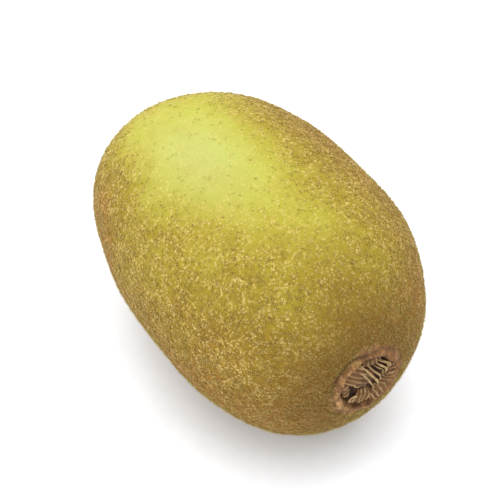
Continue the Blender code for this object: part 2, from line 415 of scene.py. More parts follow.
@dataclass(frozen=True)
class FruitForm:
    """The body's sizes, which are those of its solid, and the formulas that give its surface.

    Each train of lumps has its waves along the axis, their shift, its waves round it, and their turn.
    """

    radius: float = 25.5 * MM
    stalk_half: float = 32.1 * MM
    style_half: float = 42.0 * MM
    bluntness: float = 2.32
    flat_spot_cut: float = 0.4 * MM
    widest_x: float = 4.1 * MM
    oval: float = 0.014
    oval_turn: float = 3.375
    lobes: float = 0.024
    lobe_turn: float = -1.025
    lump_height: float = 0.18 * MM
    lumps: tuple[tuple[float, float, float, float], ...] = ((7.2, 1.3, 2.0, 0.4), (10.7, -0.6, 4.0, -1.2))
    bow: float = -0.5 * MM
    hollow_depth: float = 2.3 * MM
    hollow_floor: float = 4.8 * MM
    hollow_mouth: float = 6.2 * MM
    rim: Ring = Ring(6.7 * MM, 1.1 * MM, 0.75 * MM)
    lip: Ring = Ring(6.9 * MM, 1.5 * MM, 0.28 * MM)
    ridge: Ring = Ring(6.95 * MM, 0.38 * MM, 0.32 * MM)
    crack: Ring = Ring(7.75 * MM, 0.26 * MM, 0.16 * MM)
    groove: Ring = Ring(6.3 * MM, 0.25 * MM, 0.30 * MM)
    inner_crack: Ring = Ring(5.75 * MM, 0.20 * MM, 0.14 * MM)
    knob_place: tuple[float, float] = (4.7 * MM, 3.2 * MM)
    knob_size: float = 1.15 * MM
    beak_length: float = 2.9 * MM
    beak_radius: float = 5.2 * MM
    beak_droop: float = 2.0 * MM
    droop_start: float = 0.85
    dimple_depth: float = 0.8 * MM
    end_radius: float = 9.8 * MM
    # The skin's green to brown share, which holds painted shade lower down and on two shoulders.
    tone_and_shade: ToneAndShade = ToneAndShade()

    def half_length_at(self, r: Array, end: End) -> Array:
        """How far along X a superellipse half reaches at radius r."""
        half = self.stalk_half if end is End.STALK else self.style_half
        return end.value * half * (1.0 - (r / self.radius) ** self.bluntness) ** (1.0 / self.bluntness)

    def turned_outline(self, stalk_rings: int, side_rings: int, style_rings: int) -> tuple[Array, Array]:
        """The side of the turned shape: two superellipse halves, with rings close together at the ends.

        Args:
            stalk_rings: Rings from the middle of the stalk end out to the end radius.
            side_rings: Rings along the side.
            style_rings: Rings from the end radius in to the tip of the beak.

        Returns:
            x and r, from the stalk end to the style end.
        """
        stalk_r = np.linspace(0.0, self.end_radius, stalk_rings)
        style_r = np.linspace(self.end_radius, 0.0, style_rings)
        start = math.asin((self.end_radius / self.radius) ** (self.bluntness / 2.0))
        angle = np.linspace(start, math.pi - start, side_rings)[1:-1]
        half = np.where(angle < math.pi / 2.0, self.stalk_half, -self.style_half)
        power = 2.0 / self.bluntness
        x = [
            self.half_length_at(stalk_r, End.STALK),
            half * np.abs(np.cos(angle)) ** power,
            self.half_length_at(style_r, End.STYLE),
        ]
        return np.concatenate(x), np.concatenate([stalk_r, self.radius * np.sin(angle) ** power, style_r])

    def stalk_relief(self, r: Array, angle: Array) -> Array:
        """How far the stalk end stands out: a bell-shaped ring of puckers, less the hollow inside it.

        A fleshy lip thickens the ring on one side, a thin ridge runs along its top, a round knob stands
        beside the hollow, fine cosine wrinkles cover the ring, and creases are cut into it.

        Args:
            r: Distance from the axis.
            angle: Turn about the axis.

        Returns:
            Heights along the axis, in metres.
        """
        puckers = 1.0 + 0.22 * np.cos(9.0 * angle + 0.7) + 0.16 * np.cos(4.0 * angle + 2.1)
        y, z = self.knob_place
        from_knob = np.hypot(r * np.cos(angle) - y, r * np.sin(angle) - z)
        wrinkles = np.cos(31.0 * angle + 2.0 * np.sin(4.0 * angle) + 1300.0 * r)
        wander = (0.35 * np.sin(5.0 * angle + 1.0) + 0.2 * np.sin(11.0 * angle)) * MM
        return (
            self.rim.at(r) * puckers
            + self.lip.at(r) * bell_round(angle, 3.5, 2.4)
            + self.ridge.at(r) * self.crescent(angle)
            + self.knob_size * bell(from_knob, 0.0, self.knob_size)
            + 0.05 * MM * wrinkles * ease(r, 5.6 * MM, 6.4 * MM) * fade(r, 7.6 * MM, 9.0 * MM)
            - self.creases(r, angle, wander)
            - self.hollow_depth * fade(r, self.hollow_floor, self.hollow_mouth)
        )

    def crescent(self, angle: Array) -> Array:
        """How strong the ridge on the ring is at an angle: full at its top left and fading both ways."""
        return bell_round(angle, 2.2, 2.2)

    def creases(self, r: Array, angle: Array, wander: Array) -> Array:
        """Depth of the creases in the ring.

        Short ones cross it where a folded sine peaks, a crack runs outside it and another inside it, and
        a groove runs inside the ridge.

        Args:
            r: Distance from the axis.
            angle: Turn about the axis.
            wander: How far the two cracks stray at each angle.

        Returns:
            Depths in metres.
        """
        across = np.abs(np.sin(9.5 * angle + 1.4 * np.sin(3.0 * angle) + 900.0 * r)) ** 14
        near_rim = bell(r, self.rim.radius, 1.1 * self.rim.width, 4)
        strayed = r - 0.6 * wander
        ring_cracks = self.crack.at(strayed) * (0.375 + self.crescent(angle)) + self.inner_crack.at(strayed)
        return 0.06 * MM * across * near_rim + ring_cracks + self.groove.at(r) * self.crescent(angle)

    def style_relief(self, r: Array, angle: Array) -> Array:
        """How far the style end stands out: a bell-shaped beak with ridges, less the dimple in its tip."""
        beak = self.beak_length * np.exp(-((r / self.beak_radius) ** 2.4))
        ridges = 0.12 * MM * np.cos(13.0 * angle + 2.0 * np.sin(2.0 * angle)) * ease(r, 1.5 * MM, 3.0 * MM)
        dimple = self.dimple_depth * fade(r, 2.1 * MM, 2.8 * MM)
        return beak + ridges * fade(r, 4.0 * MM, 8.0 * MM) - dimple

    def bow_at(self, x: Array | float) -> Array | float:
        """Sideways offset of the axis, which grows with the square of x."""
        return self.bow * (x / self.style_half) ** 2

    def droop_at(self, x: Array) -> Array:
        """How far the beak's axis has sunk, which grows with the square of the way past the shoulder."""
        start = self.droop_start * self.style_half
        length = self.style_half + self.beak_length - start
        return self.beak_droop * (np.clip(-x - start, 0.0, None) / length) ** 2

    def grown(self, x: Array, r: Array, angle: Array) -> Array:
        """Moves points of the turned shape to where they are on the fruit, about its own axis.

        The radius gets an oval, three lobes and two trains of lumps, both ends their relief, and the axis
        a bow and a droop.

        Args:
            x: Place along the axis.
            r: Distance from the axis.
            angle: Turn about the axis from +Y towards +Z.

        Returns:
            Points with x, y and z last.
        """
        along = x / self.style_half
        oval = self.oval * np.cos(2.0 * angle + self.oval_turn)
        lobes = self.lobes * np.cos(3.0 * angle + self.lobe_turn)
        lumps = sum(np.sin(a * along + b) * np.cos(c * angle + d) for a, b, c, d in self.lumps)
        body = ease(r, 0.25 * self.radius, 0.60 * self.radius)
        new_r = r * (1.0 + body * (oval + lobes)) + body * self.lump_height * lumps
        new_x = x + np.where(x > 0.0, self.stalk_relief(r, angle), -self.style_relief(r, angle))
        y = new_r * np.cos(angle) + self.bow_at(new_x)
        z = new_r * np.sin(angle) - self.droop_at(new_x)
        return np.stack([new_x, y, z], axis=-1)

    def roughened(self, points: Array, x: Array, r: Array, angle: Array) -> Array:
        """Adds unevenness by lattice noise: fine on both ends, a crust on the rim, and broad all over.

        Args:
            points: Points that grown gave.
            x: Their places along the axis before they were moved.
            r: Their distances from the axis.
            angle: Their turns about it.

        Returns:
            The points, moved outwards on the body and mostly along the axis at its ends.
        """
        rough = np.where(x > 0.0, fade(r, 7.5 * MM, 10.0 * MM), fade(r, 3.5 * MM, 8.0 * MM))
        fine = noise_sum(points, (0.085, 0.55 * MM, 3), (0.051, 0.25 * MM, 4))
        crust = noise_sum(points, (0.19, 1.25 * MM, 7)) * ease(r, 5.2 * MM, 6.2 * MM)
        broad = noise_sum(points, (0.05, 6.0 * MM, 5), (0.0175, 2.2 * MM, 6))
        shift = ((fine + np.where(x > 0.0, crust, 0.0)) * rough + broad) * MM
        outward = np.stack([0.8 * np.sign(x) * rough, np.cos(angle), np.sin(angle)], axis=-1)
        return points + unit(outward) * shift[..., None]

    @cached_property
    def floor(self) -> float:
        """Height of the resting plane below the axis: the lowest point, raised by the flat spot's cut."""
        x, r = self.turned_outline(14, 25, 14)
        angle = np.linspace(0.0, math.tau, 48, endpoint=False)
        points = self.grown(*np.broadcast_arrays(x[:, None], r[:, None], angle))
        return float(points[..., 2].min()) + self.flat_spot_cut

    def placed(self, points: Array) -> Array:
        """Takes points about the fruit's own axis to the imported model's frame."""
        return points + np.array([self.widest_x, 0.0, -self.floor])


@dataclass
class FruitBody:
    """The skin over the whole body, rim, hollow and beak, flat where it rests."""

    form: FruitForm
    stalk_rings: int = 84
    side_rings: int = 170
    style_rings: int = 54
    segments: int = 312

    def surface(self) -> tuple[Array, dict[str, Array]]:
        """The body's grid of points, ring by ring from the stalk end, and the marks that its finish reads.

        Marks: how near a point is to the rim, the hollow, the collar of skin round the rim, the beak, the
        lip and the creases, how brown the skin is with its painted shade, and how much painted sheen it has.

        Returns:
            The grid, rings by segments by 3, and each mark as an array of rings by segments.
        """
        x, r = self.form.turned_outline(self.stalk_rings, self.side_rings, self.style_rings)
        turn = np.linspace(0.0, math.tau, self.segments, endpoint=False)
        x, r, angle = np.broadcast_arrays(x[:, None], r[:, None], turn)
        grid = self.form.placed(self.form.roughened(self.form.grown(x, r, angle), x, r, angle))
        grid[..., 2] = np.maximum(grid[..., 2], 0.0)
        stalk = np.where(x > 0.0, 1.0, 0.0)
        wander = (0.5 * np.sin(3.0 * angle + 0.6) + 0.3 * np.sin(7.0 * angle)) * MM
        ragged = noise_sum(grid, (0.45 * MM, 0.9 * MM, 11), (0.5 * MM, 2.4 * MM, 12))
        marks = {
            "rim": stalk * fade(r + 0.4 * wander + ragged, 7.5 * MM, 8.7 * MM),
            # The hollow's wall, which the finish paints near black: painted shade over its dark brown.
            "hollow": stalk * fade(r + ragged, 4.9 * MM, 5.9 * MM),
            # Darker collar round the rim: partly the skin's own brown, partly painted shade.
            "collar": stalk * fade(r + 2.0 * wander, 7.5 * MM, 24.0 * MM),
            "beak": (1.0 - stalk) * fade(r + 2.5 * ragged, 2.5 * MM, 6.5 * MM),
            "lip": stalk * (bell_round(angle, 3.5, 2.4) + 0.35 * bell_round(angle, 1.75, 5.0)),
            # Crease depth, which the finish paints dark as painted shade.
            "crease": stalk * self.form.creases(r, angle, wander) / self.form.inner_crack.height,
            # The skin's brown share: partly its own colour, partly painted shade lower down and on the
            # shoulders.
            "brown_and_shade": self.form.tone_and_shade.brownness_and_shade(grid),
            # Painted sheen: where the finish paints the haze of a highlight.
            "pale": self.form.tone_and_shade.painted_sheen(grid),
        }
        return grid, marks

    def build(self, material: Material) -> Array:
        """Makes the skin piece.

        Args:
            material: The skin's finish.

        Returns:
            The grid of points, for the fuzz to grow on.
        """
        grid, marks = self.surface()
        points = np.concatenate([grid[0, :1], grid[1:-1].reshape(-1, 3), grid[-1, :1]])
        flat_marks = {
            name: np.concatenate([values[0, :1], values[1:-1].ravel(), values[-1, :1]])
            for name, values in marks.items()
        }
        piece = Piece("fruit_skin", Slot.SKIN)
        piece.add(points, closed_faces(len(grid) - 2, self.segments), **flat_marks)
        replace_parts(piece.finish(material), "fruit")
        return grid


@dataclass
class Fuzz:
    """Short stiff hairs all over the skin, most of them in tufts, each a closed spike with three sides."""

    form: FruitForm
    tufts: int = 21000
    hairs_in_tuft: int = 5
    singles: int = 15000
    tuft_radius: float = 0.17 * MM
    pieces: int = 3
    shortest: float = 0.22 * MM
    longest: float = 0.60 * MM
    singles_longer: float = 1.5
    thickness: float = 0.052 * MM
    lean: tuple[float, float] = (0.45, 1.25)
    sunk: float = 0.05 * MM
    above_floor: float = 0.02 * MM
    seed: int = 12

    def density(self, middle: Array) -> Array:
        """How thickly the hairs stand.

        It eases up where the skin is browner, painted shade included, and again towards the rim and the beak,
        times lattice noise. It eases out to none at their edges and where the fruit rests.

        Args:
            middle: The middle of each patch of skin.

        Returns:
            A weight for each patch, 0 where it rests and inside the hollow.
        """
        local = middle - self.form.placed(np.zeros(3))
        r = np.hypot(local[..., 1], local[..., 2])
        stalk = local[..., 0] > 0.0
        weight = 0.05 + 1.35 * ease(self.form.tone_and_shade.brownness_and_shade(middle), 0.12, 0.75)
        weight += np.where(stalk, 0.8 * fade(r, 8.5 * MM, 14.0 * MM), fade(r, 5.0 * MM, 13.0 * MM))
        weight *= 1.0 + noise_sum(middle, (0.5, 5.0 * MM, 21), (0.4, 1.6 * MM, 22))
        edge = r + noise_sum(middle, (0.7 * MM, 1.1 * MM, 23))
        weight *= np.where(stalk, ease(edge, 6.9 * MM, 8.9 * MM), ease(edge, 2.4 * MM, 3.8 * MM))
        return np.clip(weight, 0.0, None) * ease(middle[..., 2], 0.25 * MM, 0.9 * MM)

    def places(self, grid: Array, count: int, random: np.random.Generator) -> tuple[Array, Array]:
        """Picks places on the skin: quads by area times density, then an even place inside each.

        Args:
            grid: The skin's points, rings by segments by 3.
            count: How many places.
            random: Source of the picks.

        Returns:
            The places and the skin's normals there.
        """
        wrapped = np.concatenate([grid, grid[:, :1]], axis=1)
        a, b = wrapped[:-1, :-1], wrapped[:-1, 1:]
        c, d = wrapped[1:, 1:], wrapped[1:, :-1]
        across = np.cross(c - a, d - b)
        weight = np.linalg.norm(across, axis=-1) * self.density((a + b + c + d) / 4.0)
        picked = random.choice(weight.size, size=count, p=weight.ravel() / weight.sum())
        s, t = random.random((2, count, 1))
        shares = ((1 - s) * (1 - t), (1 - s) * t, s * t, s * (1 - t))
        place = sum(corner.reshape(-1, 3)[picked] * share for corner, share in zip((a, b, c, d), shares))
        normal = unit(across.reshape(-1, 3)[picked])
        facing = np.sign(np.sum(normal * (place - grid.reshape(-1, 3).mean(axis=0)), axis=-1, keepdims=True))
        return place, normal * facing

    def build(self, grid: Array, material: Material) -> None:
        """Makes the hairs. Those of a tuft start beside its middle and lean away from it.

        Args:
            grid: The skin's points.
            material: The hairs' finish.
        """
        random = np.random.default_rng(self.seed)
        middle, normal = self.places(grid, self.tufts + self.singles, random)
        in_tufts = np.repeat(np.arange(self.tufts), self.hairs_in_tuft)
        owner = np.concatenate([in_tufts, self.tufts + np.arange(self.singles)])
        hairs = len(owner)
        normal = normal[owner]
        sideways = unit(np.cross(normal, random.normal(size=normal.shape)))
        other = np.cross(normal, sideways)
        root = middle[owner] + sideways * self.tuft_radius * np.sqrt(random.random((hairs, 1)))
        lean = random.uniform(*self.lean, (hairs, 1))
        swept = unit(sideways + 0.5 * random.normal(size=(hairs, 1)) * other)
        length = self.shortest + (self.longest - self.shortest) * random.beta(2.0, 2.2, (hairs, 1))
        length[-self.singles :] *= self.singles_longer
        turn = random.uniform(0.0, math.tau, (hairs, 1, 1)) + np.arange(3.0)[None, :, None] * math.tau / 3.0
        width = self.thickness * random.uniform(0.7, 1.35, (hairs, 1, 1))
        foot = np.cos(turn) * sideways[:, None] + np.sin(turn) * other[:, None]
        feet = root[:, None] - self.sunk * normal[:, None] + width * foot
        tip = root + length * (normal * np.cos(lean) + swept * np.sin(lean))
        tip[:, 2] = np.maximum(tip[:, 2], self.above_floor)
        points = np.concatenate([feet, tip[:, None]], axis=1)
        tint = 0.75 * random.random(self.tufts + self.singles)[owner] + 0.25 * random.random(hairs)
        marks = {
            "hue": np.repeat(tint[:, None], 4, axis=1),
            # The hairs' roots take the skin's brown share, painted shade included.
            "brown_and_shade": np.repeat(self.form.tone_and_shade.brownness_and_shade(root)[:, None], 4, axis=1),
            "reach": np.tile(np.array([0.0, 0.0, 0.0, 1.0]), (hairs, 1)),
        }
        spike = np.array([[0, 1, 3], [1, 2, 3], [2, 0, 3], [0, 2, 1]])
        for k, chosen in enumerate(np.array_split(np.arange(hairs), self.pieces)):
            faces = (spike[None] + 4 * np.arange(len(chosen))[:, None, None]).reshape(-1, 3)
            piece = Piece(f"fuzz_{k + 1}", Slot.SKIN)
            picked = {name: values[chosen].ravel() for name, values in marks.items()}
            piece.add(points[chosen].reshape(-1, 3), [faces], **picked)
            piece.finish(material, turn_outwards=False)


@dataclass(frozen=True)
class Sepal:
    """One dried sepal: where it is rooted, and how it folds in over the hollow, in millimetres."""

    turn: float
    reach: float
    width: float
    lift: float
    ribs: int
    drop: float = 0.2
    lean: float = 0.0
    root: float = 5.2
    base: float = 0.9
    rib_height: float = 0.42
    arch: float = 0.30

    def surface(self, rows: int, columns: int, seed: int) -> tuple[Array, Array, Array]:
        """The sepal's upper face, in millimetres about the hollow's middle: up along X, then Y and Z.

        Its middle line starts at the root, rises as a half wave to its lift and comes down to its drop as
        it runs inwards by its reach. Its outline is widest near the root and rounds off at a ragged tip.
        Ribs are a folded sine along it, it arches across, and lattice noise crumples it.

        Args:
            rows: Steps from root to tip.
            columns: Steps across.
            seed: Picks its crumples.

        Returns:
            Points, how high each stands on a rib from 0 to 1, and the pattern's UVs.
        """
        v, u = np.meshgrid(np.linspace(0.0, 1.0, rows), np.linspace(-1.0, 1.0, columns), indexing="ij")
        flat = np.stack([u * 3.0, v * 5.0, np.full_like(u, seed * 7.3)], axis=-1)
        along = v * (1.0 + noise_sum(flat, (0.20, 0.7, seed)))
        rise = self.lift * np.sin(math.pi * np.clip(along, 0.0, 1.0) ** 0.62) - self.drop * along**2
        outline = np.sqrt(np.clip(1.02 - along**3.2, 0.02, None)) * (0.80 + 0.55 * along * (1.0 - along))
        wander = 0.12 * np.sin(3.0 * v + seed) + noise_sum(flat, (0.12, 1.2, seed + 60))
        folded = 1.0 - np.abs(np.sin(math.pi * self.ribs * (u + wander) / 2.0))
        uneven = 0.75 + noise_sum(flat, (0.35, 1.6, seed + 80))
        rib = np.clip(folded**1.3 * uneven * 1.2, 0.0, 1.0)
        crumple = noise_sum(flat, (0.20, 0.9, seed + 40), (0.08, 0.35, seed + 41))
        ribbed = self.rib_height * rib * np.clip(1.2 - along, 0.3, 1.0)
        height = self.base + rise + ribbed - self.arch * u * u + crumple
        turn = math.radians(self.turn)
        radial = self.root - self.reach * along
        sideways = u * 0.5 * self.width * outline + self.lean * along
        y = radial * math.cos(turn) - sideways * math.sin(turn)
        z = radial * math.sin(turn) + sideways * math.cos(turn)
        uv = np.stack([0.5 + 0.5 * u * outline, v], axis=-1)
        return np.stack([height, y, z], axis=-1), rib, uv


@dataclass
class Calyx:
    """The dried calyx: a wrinkled disc, the stalk's corky scar, ribbed sepals and loose strands.

    Sizes are in millimetres apart from the gap. Each strand has its distance from the disc's middle, its
    share of the chord there, and its thickness.
    """

    form: FruitForm
    gap: float = 0.3 * MM
    disc_radius: float = 5.0
    scar_radius: float = 1.9
    sepal_thickness: float = 0.22
    disc_grid: tuple[int, int] = (40, 140)
    scar_grid: tuple[int, int] = (36, 90)
    sepal_grid: tuple[int, int] = (56, 60)
    strand_sides: int = 10
    seed: int = 5
    sepals: tuple[Sepal, ...] = (
        Sepal(turn=135.0, reach=8.6, width=4.6, lift=0.85, ribs=4, drop=0.5, lean=-0.5),
        Sepal(turn=186.0, reach=2.4, width=3.6, lift=0.55, ribs=3, drop=0.6, lean=-0.4),
        Sepal(turn=254.0, reach=2.9, width=4.6, lift=0.90, ribs=4, drop=0.3, lean=0.9),
        Sepal(turn=303.0, reach=2.7, width=5.6, lift=0.30, ribs=5, drop=1.2, lean=0.5, root=6.2, base=1.75),
        Sepal(turn=352.0, reach=2.2, width=4.6, lift=0.25, ribs=4, drop=1.2, lean=-0.4, root=6.2, base=1.75),
        Sepal(turn=74.0, reach=2.6, width=4.4, lift=0.7, ribs=4, drop=0.9, lean=0.4),
    )
    strands: tuple[tuple[float, float, float], ...] = (
        (-0.2, 0.90, 0.19),
        (0.9, 0.97, 0.25),
        (1.95, 0.82, 0.20),
        (2.9, 0.62, 0.14),
        (3.6, 0.75, 0.24),
        (4.25, 0.90, 0.15),
        (4.75, 0.85, 0.20),
    )
    strand_reach: float = 5.1
    strand_tilt: float = 117.0

    def placed(self, points: Array) -> Array:
        """Takes millimetres about the hollow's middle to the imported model's frame."""
        base = self.form.stalk_half - self.form.hollow_depth + self.gap
        middle = np.array([base, self.form.bow_at(self.form.stalk_half), 0.0])
        return self.form.placed(points * MM + middle)

    def turned_piece(
        self, radius: float, profile: Callable[[Array, Array], Array], rings: int, segments: int
    ) -> tuple[Array, list[Array], Array]:
        """A closed round cake about X: its top follows a profile of radius and angle, its foot is flat.

        Args:
            radius: The cake's radius.
            profile: Height of the top at each radius and angle.
            rings: Rings from the middle to the edge.
            segments: Points in a ring.

        Returns:
            Points, faces, and UVs that lie flat across the cake.
        """
        r = np.linspace(0.0, radius, rings)[1:]
        angle = np.linspace(0.0, math.tau, segments, endpoint=False)
        r, angle = np.meshgrid(r, angle, indexing="ij")
        top = np.stack([profile(r, angle), r * np.cos(angle), r * np.sin(angle)], axis=-1)
        foot = top[-1] * np.array([0.0, 0.97, 0.97])
        middle = np.array([[float(profile(np.zeros(1), np.zeros(1))[0]), 0.0, 0.0]])
        points = np.concatenate([middle, top.reshape(-1, 3), foot, [[0.0, 0.0, 0.0]]])
        return points, closed_faces(rings, segments), points[:, 1:] / (2.0 * radius) + 0.5

    def disc(self, r: Array, angle: Array) -> Array:
        """Height of the disc: dished, with wrinkles that run out from its middle."""
        wrinkle = 0.12 * np.abs(np.sin(8.5 * angle + 1.5 * np.sin(2.0 * angle))) * ease(r, 0.5, 2.0)
        flat = np.stack([r * np.cos(angle), r * np.sin(angle), 0.0 * r], axis=-1)
        return 0.62 + 0.20 * (r / self.disc_radius) ** 2 + wrinkle + noise_sum(flat, (0.10, 0.7, 61))

    def scar(self, r: Array, angle: Array) -> Array:
        """Height of the scar: a corky ring with a sunken, holed middle."""
        flat = np.stack([r * np.cos(angle), r * np.sin(angle), 0.0 * r + 9.0], axis=-1)
        ring = 1.45 - 0.5 * (r / self.scar_radius) ** 6 - 0.45 * bell(r, 0.0, 0.8)
        hole = 0.45 * np.exp(-((flat[..., 0] + 0.2) ** 2 + (flat[..., 1] - 0.1) ** 2) / 0.06)
        return ring - hole + noise_sum(flat, (0.14, 0.45, 62), (0.08, 0.2, 63))

    def fibres(self, random: np.random.Generator) -> list[tuple[Array, Array]]:
        """Stiff strands: arcs across the open side of the hollow, and one curled into a ring.

        An arc runs along a chord of the hollow, tilted, and rises and bulges as half waves.

        Args:
            random: Source of their small differences.

        Returns:
            A path in millimetres and a radius in metres along it, for each strand.
        """
        made = []
        t = np.linspace(0.0, 1.0, 30)
        half_wave = np.sin(math.pi * t)
        tilt = math.radians(self.strand_tilt)
        for offset, share, thick in self.strands:
            run = math.sqrt(self.strand_reach**2 - offset**2) * share * (1.0 - 2.0 * t)
            across = offset + (0.5 + 0.2 * random.random()) * half_wave + 0.12 * np.sin(9.0 * t + offset)
            height = 1.0 + (1.15 + 0.3 * random.random()) * half_wave**0.6 - 0.3 * t
            y = run * math.cos(tilt) + across * math.sin(tilt)
            z = run * math.sin(tilt) - across * math.cos(tilt)
            swell = thick * (0.5 + 0.5 * half_wave) * (1.0 + 0.2 * np.sin(17.0 * t + 3.0 * offset))
            made.append((np.stack([height, y, z], axis=-1), swell * MM))
        turn = 0.6 + 5.4 * t
        curl = [2.0 + 0.25 * np.sin(turn), -3.3 + 0.85 * np.cos(turn), -2.5 + 0.78 * np.sin(turn)]
        made.append((np.stack(curl, axis=-1), (0.22 - 0.10 * t) * MM))
        return made

    def build(self, disc: Material, scar: Material, sepal: Material) -> None:
        """Makes the disc, the scar, the sepals and the strands.

        Args:
            disc: Finish of the disc.
            scar: Finish of the scar.
            sepal: Finish of the sepals and the strands.
        """
        floor = Piece("calyx_disc", Slot.CALYX)
        points, faces, uv = self.turned_piece(self.disc_radius, self.disc, *self.disc_grid)
        floor.add(self.placed(points), faces, uv)
        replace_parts(floor.finish(disc), "calyx")
        knob = Piece("stalk_scar", Slot.CALYX)
        points, faces, uv = self.turned_piece(self.scar_radius, self.scar, *self.scar_grid)
        knob.add(self.placed(points), faces, uv)
        knob.finish(scar)
        leaves = Piece("sepals", Slot.CALYX)
        for k, one in enumerate(self.sepals):
            top, rib, uv = one.surface(*self.sepal_grid, k + 1)
            points, faces = shell(self.placed(top), self.sepal_thickness * MM)
            leaves.add(points, faces, np.tile(uv.reshape(-1, 2), (2, 1)), rib=np.tile(rib.ravel(), 2))
        leaves.finish(sepal)
        strands = Piece("calyx_fibres", Slot.CALYX)
        for path, radius in self.fibres(np.random.default_rng(self.seed)):
            points, faces, uv = tube(self.placed(path), radius, self.strand_sides)
            strands.add(points, faces, uv, rib=np.ones(len(points)))
        strands.finish(sepal)


@dataclass
class StyleTuft:
    """The dried styles: curled dark stubs that spread from a small disc in the beak's dimple.

    The disc's rings have a height above the dimple's floor and a radius each, in millimetres.
    """

    form: FruitForm
    count: int = 17
    length: float = 1.75
    foot_spread: float = 1.25
    turn_step: float = 0.618 * math.tau
    steps: int = 16
    sides: int = 9
    seed: int = 31
    gap: float = 0.3 * MM
    disc_rings: tuple[tuple[float, float], ...] = (
        (0.0, 1.7), (0.25, 1.85), (0.55, 1.7), (0.72, 1.2), (0.75, 0.6),
    )
    disc_top: float = 0.72

    def placed(self, points: Array) -> Array:
        """Takes millimetres outwards from the dimple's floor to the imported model's frame."""
        tip = self.form.style_half + self.form.beak_length - self.form.dimple_depth
        droop = float(self.form.droop_at(np.array(-tip)))
        middle = np.array([-tip - self.gap, self.form.bow_at(self.form.style_half), -droop])
        return self.form.placed(points * MM * np.array([-1.0, 1.0, 1.0]) + middle)

    def disc(self) -> tuple[Array, list[Array]]:
        """Points and faces of the disc: rings whose edge waves by two cosines, closed at both ends."""
        angle = np.linspace(0.0, math.tau, 48, endpoint=False)
        edge = 1.0 + 0.06 * np.cos(7.0 * angle) + 0.04 * np.cos(11.0 * angle + 1.0)
        rings = [
            np.stack([np.full_like(angle, x), r * edge * np.cos(angle), r * edge * np.sin(angle)], axis=-1)
            for x, r in self.disc_rings
        ]
        points = np.concatenate([[[0.0, 0.0, 0.0]], *rings, [[self.disc_top, 0.0, 0.0]]])
        return points, closed_faces(len(rings), len(angle))

    def build(self, material: Material) -> None:
        """Makes the stubs and their disc. Each stub leans out by a random turn, then curls back.

        Args:
            material: Finish of the dried styles.
        """
        random = np.random.default_rng(self.seed)
        piece = Piece("dried_styles", Slot.STYLES)
        t = np.linspace(0.0, 1.0, self.steps)
        step = self.length / self.steps
        for k in range(self.count):
            turn = self.turn_step * k + random.uniform(-0.3, 0.3)
            spread = random.uniform(0.15, 1.15)
            start = self.foot_spread * math.sqrt((k + 0.5) / self.count)
            lean = spread + random.uniform(-0.7, 0.9) * t
            out = start + np.cumsum(np.sin(lean)) * step * random.uniform(0.7, 1.0)
            up = 0.3 + np.cumsum(np.cos(lean)) * step * random.uniform(0.75, 1.0)
            swing = turn + 0.5 * t * random.uniform(-1.0, 1.0)
            path = np.stack([up, out * np.cos(swing), out * np.sin(swing)], axis=-1)
            radius = (0.26 - 0.12 * t + 0.07 * bell(t, 1.0, 0.12)) * MM
            piece.add(*tube(self.placed(path), radius * random.uniform(0.8, 1.1), self.sides))
        points, faces = self.disc()
        piece.add(self.placed(points), faces)
        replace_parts(piece.finish(material), "style_tuft")


